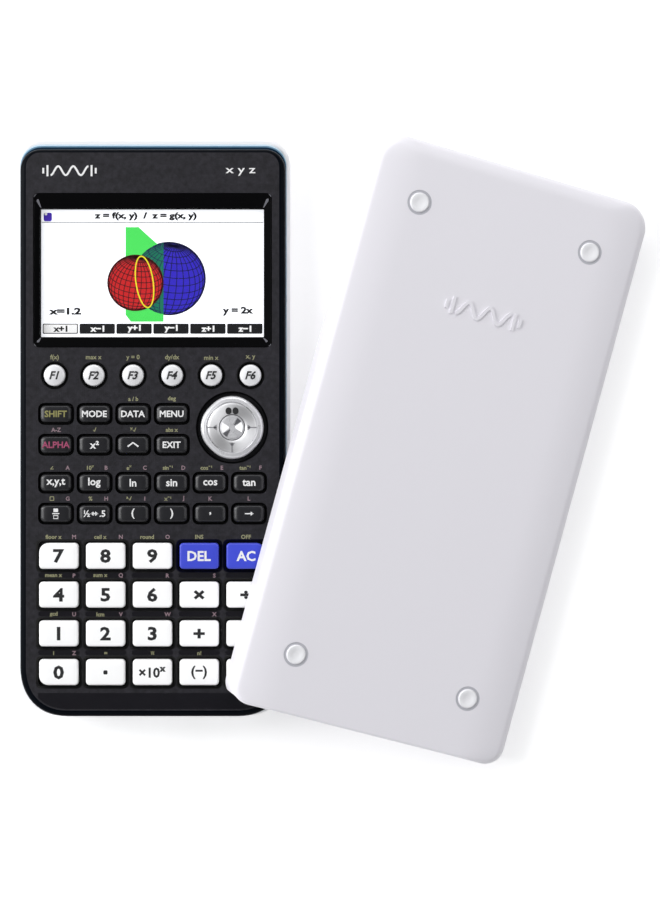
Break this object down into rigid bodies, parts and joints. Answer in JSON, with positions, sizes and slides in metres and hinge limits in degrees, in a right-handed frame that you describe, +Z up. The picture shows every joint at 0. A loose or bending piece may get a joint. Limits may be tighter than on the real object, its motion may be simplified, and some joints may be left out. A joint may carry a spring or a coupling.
{
  "type": "graphing calculator",
  "caption": "Slim handheld graphing calculator with a wide colour display, domed soft keys, a round direction pad and number keys, its hard slide cover leaning across one corner.",
  "frame": {"origin": "on the table under the centre of the calculator's back, between its feet", "axes": "+Z up out of the keyboard, +Y towards the display end, +X to the right of the keyboard"},
  "size_m": [0.2055, 0.2042, 0.0318],
  "materials": {
    "shell_white": "satin moulded",
    "face_black": "fine textured, gloss border",
    "key_black": "gloss, bevelled",
    "key_white": "satin",
    "key_blue": "satin",
    "key_silver": "metallised satin",
    "window_clear": "clear, dark printed frame",
    "display_panel": "colour display",
    "membrane_grey": "silicone",
    "board_green": "solder resist",
    "cell_jacket": "printed sleeve"
  },
  "bodies": {
    "calculator": {"front_housing": "face_black", "rear_housing": "shell_white", "display_window": "window_clear", "lcd_module": "display_panel", "main_board": "board_green", "keypad_membrane": "membrane_grey", "battery_1": "cell_jacket", "battery_2": "cell_jacket", "battery_3": "cell_jacket", "battery_4": "cell_jacket"},
    "cover": {"slide_cover": "shell_white"},
    "battery_door": {"battery_door": "shell_white"},
    "tilt_pivot": {"tilt_pivot": "membrane_grey"},
    "tilt_pad": {"tilt_pad": "key_silver"},
    "key_f1": {"key_f1": "key_silver"},
    "key_f2": {"key_f2": "key_silver"},
    "key_f3": {"key_f3": "key_silver"},
    "key_f4": {"key_f4": "key_silver"},
    "key_f5": {"key_f5": "key_silver"},
    "key_f6": {"key_f6": "key_silver"},
    "key_shift": {"key_shift": "key_black"},
    "key_option": {"key_option": "key_black"},
    "key_variable": {"key_variable": "key_black"},
    "key_menu": {"key_menu": "key_black"},
    "key_alpha": {"key_alpha": "key_black"},
    "key_square": {"key_square": "key_black"},
    "key_power": {"key_power": "key_black"},
    "key_exit": {"key_exit": "key_black"},
    "key_unknown": {"key_unknown": "key_black"},
    "key_log": {"key_log": "key_black"},
    "key_ln": {"key_ln": "key_black"},
    "key_sin": {"key_sin": "key_black"},
    "key_cos": {"key_cos": "key_black"},
    "key_tan": {"key_tan": "key_black"},
    "key_fraction": {"key_fraction": "key_black"},
    "key_convert": {"key_convert": "key_black"},
    "key_paren_open": {"key_paren_open": "key_black"},
    "key_paren_close": {"key_paren_close": "key_black"},
    "key_comma": {"key_comma": "key_black"},
    "key_store": {"key_store": "key_black"},
    "key_7": {"key_7": "key_white"},
    "key_8": {"key_8": "key_white"},
    "key_9": {"key_9": "key_white"},
    "key_delete": {"key_delete": "key_blue"},
    "key_clear": {"key_clear": "key_blue"},
    "key_4": {"key_4": "key_white"},
    "key_5": {"key_5": "key_white"},
    "key_6": {"key_6": "key_white"},
    "key_times": {"key_times": "key_white"},
    "key_divide": {"key_divide": "key_white"},
    "key_1": {"key_1": "key_white"},
    "key_2": {"key_2": "key_white"},
    "key_3": {"key_3": "key_white"},
    "key_plus": {"key_plus": "key_white"},
    "key_minus": {"key_minus": "key_white"},
    "key_0": {"key_0": "key_white"},
    "key_point": {"key_point": "key_white"},
    "key_exponent": {"key_exponent": "key_white"},
    "key_negate": {"key_negate": "key_white"},
    "key_execute": {"key_execute": "key_white"}
  },
  "joints": [
    {"name": "cover_lift", "type": "slide", "parent": "calculator", "child": "cover", "axis": [0, 0, 1], "range_m": [0, 0.08]},
    {"name": "battery_door_swing", "type": "hinge", "parent": "calculator", "child": "battery_door", "pos_m": [0, 0.0236, 0.0006], "axis": [-1, 0, 0], "range_deg": [0, 60]},
    {"name": "pad_tilt_up_down", "type": "hinge", "parent": "calculator", "child": "tilt_pivot", "pos_m": [0.0258, -0.0002, 0.0134], "axis": [1, 0, 0], "range_deg": [-3.5, 3.5], "stiffness_Nm_per_rad": 0.2, "deforming": ["keypad_membrane"]},
    {"name": "pad_tilt_left_right", "type": "hinge", "parent": "tilt_pivot", "child": "tilt_pad", "pos_m": [0.0258, -0.0002, 0.0134], "axis": [0, 1, 0], "range_deg": [-3.5, 3.5], "stiffness_Nm_per_rad": 0.2, "deforming": ["keypad_membrane"]},
    {"name": "press_f1", "type": "slide", "parent": "calculator", "child": "key_f1", "axis": [0, 0, 1], "range_m": [-0.001, 0], "stiffness_N_per_m": 600, "springref_m": 0.0005, "deforming": ["keypad_membrane"]},
    {"name": "press_f2", "type": "slide", "parent": "calculator", "child": "key_f2", "axis": [0, 0, 1], "range_m": [-0.001, 0], "stiffness_N_per_m": 600, "springref_m": 0.0005, "deforming": ["keypad_membrane"]},
    {"name": "press_f3", "type": "slide", "parent": "calculator", "child": "key_f3", "axis": [0, 0, 1], "range_m": [-0.001, 0], "stiffness_N_per_m": 600, "springref_m": 0.0005, "deforming": ["keypad_membrane"]},
    {"name": "press_f4", "type": "slide", "parent": "calculator", "child": "key_f4", "axis": [0, 0, 1], "range_m": [-0.001, 0], "stiffness_N_per_m": 600, "springref_m": 0.0005, "deforming": ["keypad_membrane"]},
    {"name": "press_f5", "type": "slide", "parent": "calculator", "child": "key_f5", "axis": [0, 0, 1], "range_m": [-0.001, 0], "stiffness_N_per_m": 600, "springref_m": 0.0005, "deforming": ["keypad_membrane"]},
    {"name": "press_f6", "type": "slide", "parent": "calculator", "child": "key_f6", "axis": [0, 0, 1], "range_m": [-0.001, 0], "stiffness_N_per_m": 600, "springref_m": 0.0005, "deforming": ["keypad_membrane"]},
    {"name": "press_shift", "type": "slide", "parent": "calculator", "child": "key_shift", "axis": [0, 0, 1], "range_m": [-0.001, 0], "stiffness_N_per_m": 600, "springref_m": 0.0005, "deforming": ["keypad_membrane"]},
    {"name": "press_option", "type": "slide", "parent": "calculator", "child": "key_option", "axis": [0, 0, 1], "range_m": [-0.001, 0], "stiffness_N_per_m": 600, "springref_m": 0.0005, "deforming": ["keypad_membrane"]},
    {"name": "press_variable", "type": "slide", "parent": "calculator", "child": "key_variable", "axis": [0, 0, 1], "range_m": [-0.001, 0], "stiffness_N_per_m": 600, "springref_m": 0.0005, "deforming": ["keypad_membrane"]},
    {"name": "press_menu", "type": "slide", "parent": "calculator", "child": "key_menu", "axis": [0, 0, 1], "range_m": [-0.001, 0], "stiffness_N_per_m": 600, "springref_m": 0.0005, "deforming": ["keypad_membrane"]},
    {"name": "press_alpha", "type": "slide", "parent": "calculator", "child": "key_alpha", "axis": [0, 0, 1], "range_m": [-0.001, 0], "stiffness_N_per_m": 600, "springref_m": 0.0005, "deforming": ["keypad_membrane"]},
    {"name": "press_square", "type": "slide", "parent": "calculator", "child": "key_square", "axis": [0, 0, 1], "range_m": [-0.001, 0], "stiffness_N_per_m": 600, "springref_m": 0.0005, "deforming": ["keypad_membrane"]},
    {"name": "press_power", "type": "slide", "parent": "calculator", "child": "key_power", "axis": [0, 0, 1], "range_m": [-0.001, 0], "stiffness_N_per_m": 600, "springref_m": 0.0005, "deforming": ["keypad_membrane"]},
    {"name": "press_exit", "type": "slide", "parent": "calculator", "child": "key_exit", "axis": [0, 0, 1], "range_m": [-0.001, 0], "stiffness_N_per_m": 600, "springref_m": 0.0005, "deforming": ["keypad_membrane"]},
    {"name": "press_unknown", "type": "slide", "parent": "calculator", "child": "key_unknown", "axis": [0, 0, 1], "range_m": [-0.001, 0], "stiffness_N_per_m": 600, "springref_m": 0.0005, "deforming": ["keypad_membrane"]},
    {"name": "press_log", "type": "slide", "parent": "calculator", "child": "key_log", "axis": [0, 0, 1], "range_m": [-0.001, 0], "stiffness_N_per_m": 600, "springref_m": 0.0005, "deforming": ["keypad_membrane"]},
    {"name": "press_ln", "type": "slide", "parent": "calculator", "child": "key_ln", "axis": [0, 0, 1], "range_m": [-0.001, 0], "stiffness_N_per_m": 600, "springref_m": 0.0005, "deforming": ["keypad_membrane"]},
    {"name": "press_sin", "type": "slide", "parent": "calculator", "child": "key_sin", "axis": [0, 0, 1], "range_m": [-0.001, 0], "stiffness_N_per_m": 600, "springref_m": 0.0005, "deforming": ["keypad_membrane"]},
    {"name": "press_cos", "type": "slide", "parent": "calculator", "child": "key_cos", "axis": [0, 0, 1], "range_m": [-0.001, 0], "stiffness_N_per_m": 600, "springref_m": 0.0005, "deforming": ["keypad_membrane"]},
    {"name": "press_tan", "type": "slide", "parent": "calculator", "child": "key_tan", "axis": [0, 0, 1], "range_m": [-0.001, 0], "stiffness_N_per_m": 600, "springref_m": 0.0005, "deforming": ["keypad_membrane"]},
    {"name": "press_fraction", "type": "slide", "parent": "calculator", "child": "key_fraction", "axis": [0, 0, 1], "range_m": [-0.001, 0], "stiffness_N_per_m": 600, "springref_m": 0.0005, "deforming": ["keypad_membrane"]},
    {"name": "press_convert", "type": "slide", "parent": "calculator", "child": "key_convert", "axis": [0, 0, 1], "range_m": [-0.001, 0], "stiffness_N_per_m": 600, "springref_m": 0.0005, "deforming": ["keypad_membrane"]},
    {"name": "press_paren_open", "type": "slide", "parent": "calculator", "child": "key_paren_open", "axis": [0, 0, 1], "range_m": [-0.001, 0], "stiffness_N_per_m": 600, "springref_m": 0.0005, "deforming": ["keypad_membrane"]},
    {"name": "press_paren_close", "type": "slide", "parent": "calculator", "child": "key_paren_close", "axis": [0, 0, 1], "range_m": [-0.001, 0], "stiffness_N_per_m": 600, "springref_m": 0.0005, "deforming": ["keypad_membrane"]},
    {"name": "press_comma", "type": "slide", "parent": "calculator", "child": "key_comma", "axis": [0, 0, 1], "range_m": [-0.001, 0], "stiffness_N_per_m": 600, "springref_m": 0.0005, "deforming": ["keypad_membrane"]},
    {"name": "press_store", "type": "slide", "parent": "calculator", "child": "key_store", "axis": [0, 0, 1], "range_m": [-0.001, 0], "stiffness_N_per_m": 600, "springref_m": 0.0005, "deforming": ["keypad_membrane"]},
    {"name": "press_7", "type": "slide", "parent": "calculator", "child": "key_7", "axis": [0, 0, 1], "range_m": [-0.001, 0], "stiffness_N_per_m": 600, "springref_m": 0.0005, "deforming": ["keypad_membrane"]},
    {"name": "press_8", "type": "slide", "parent": "calculator", "child": "key_8", "axis": [0, 0, 1], "range_m": [-0.001, 0], "stiffness_N_per_m": 600, "springref_m": 0.0005, "deforming": ["keypad_membrane"]},
    {"name": "press_9", "type": "slide", "parent": "calculator", "child": "key_9", "axis": [0, 0, 1], "range_m": [-0.001, 0], "stiffness_N_per_m": 600, "springref_m": 0.0005, "deforming": ["keypad_membrane"]},
    {"name": "press_delete", "type": "slide", "parent": "calculator", "child": "key_delete", "axis": [0, 0, 1], "range_m": [-0.001, 0], "stiffness_N_per_m": 600, "springref_m": 0.0005, "deforming": ["keypad_membrane"]},
    {"name": "press_clear", "type": "slide", "parent": "calculator", "child": "key_clear", "axis": [0, 0, 1], "range_m": [-0.001, 0], "stiffness_N_per_m": 600, "springref_m": 0.0005, "deforming": ["keypad_membrane"]},
    {"name": "press_4", "type": "slide", "parent": "calculator", "child": "key_4", "axis": [0, 0, 1], "range_m": [-0.001, 0], "stiffness_N_per_m": 600, "springref_m": 0.0005, "deforming": ["keypad_membrane"]},
    {"name": "press_5", "type": "slide", "parent": "calculator", "child": "key_5", "axis": [0, 0, 1], "range_m": [-0.001, 0], "stiffness_N_per_m": 600, "springref_m": 0.0005, "deforming": ["keypad_membrane"]},
    {"name": "press_6", "type": "slide", "parent": "calculator", "child": "key_6", "axis": [0, 0, 1], "range_m": [-0.001, 0], "stiffness_N_per_m": 600, "springref_m": 0.0005, "deforming": ["keypad_membrane"]},
    {"name": "press_times", "type": "slide", "parent": "calculator", "child": "key_times", "axis": [0, 0, 1], "range_m": [-0.001, 0], "stiffness_N_per_m": 600, "springref_m": 0.0005, "deforming": ["keypad_membrane"]},
    {"name": "press_divide", "type": "slide", "parent": "calculator", "child": "key_divide", "axis": [0, 0, 1], "range_m": [-0.001, 0], "stiffness_N_per_m": 600, "springref_m": 0.0005, "deforming": ["keypad_membrane"]},
    {"name": "press_1", "type": "slide", "parent": "calculator", "child": "key_1", "axis": [0, 0, 1], "range_m": [-0.001, 0], "stiffness_N_per_m": 600, "springref_m": 0.0005, "deforming": ["keypad_membrane"]},
    {"name": "press_2", "type": "slide", "parent": "calculator", "child": "key_2", "axis": [0, 0, 1], "range_m": [-0.001, 0], "stiffness_N_per_m": 600, "springref_m": 0.0005, "deforming": ["keypad_membrane"]},
    {"name": "press_3", "type": "slide", "parent": "calculator", "child": "key_3", "axis": [0, 0, 1], "range_m": [-0.001, 0], "stiffness_N_per_m": 600, "springref_m": 0.0005, "deforming": ["keypad_membrane"]},
    {"name": "press_plus", "type": "slide", "parent": "calculator", "child": "key_plus", "axis": [0, 0, 1], "range_m": [-0.001, 0], "stiffness_N_per_m": 600, "springref_m": 0.0005, "deforming": ["keypad_membrane"]},
    {"name": "press_minus", "type": "slide", "parent": "calculator", "child": "key_minus", "axis": [0, 0, 1], "range_m": [-0.001, 0], "stiffness_N_per_m": 600, "springref_m": 0.0005, "deforming": ["keypad_membrane"]},
    {"name": "press_0", "type": "slide", "parent": "calculator", "child": "key_0", "axis": [0, 0, 1], "range_m": [-0.001, 0], "stiffness_N_per_m": 600, "springref_m": 0.0005, "deforming": ["keypad_membrane"]},
    {"name": "press_point", "type": "slide", "parent": "calculator", "child": "key_point", "axis": [0, 0, 1], "range_m": [-0.001, 0], "stiffness_N_per_m": 600, "springref_m": 0.0005, "deforming": ["keypad_membrane"]},
    {"name": "press_exponent", "type": "slide", "parent": "calculator", "child": "key_exponent", "axis": [0, 0, 1], "range_m": [-0.001, 0], "stiffness_N_per_m": 600, "springref_m": 0.0005, "deforming": ["keypad_membrane"]},
    {"name": "press_negate", "type": "slide", "parent": "calculator", "child": "key_negate", "axis": [0, 0, 1], "range_m": [-0.001, 0], "stiffness_N_per_m": 600, "springref_m": 0.0005, "deforming": ["keypad_membrane"]},
    {"name": "press_execute", "type": "slide", "parent": "calculator", "child": "key_execute", "axis": [0, 0, 1], "range_m": [-0.001, 0], "stiffness_N_per_m": 600, "springref_m": 0.0005, "deforming": ["keypad_membrane"]}
  ]
}
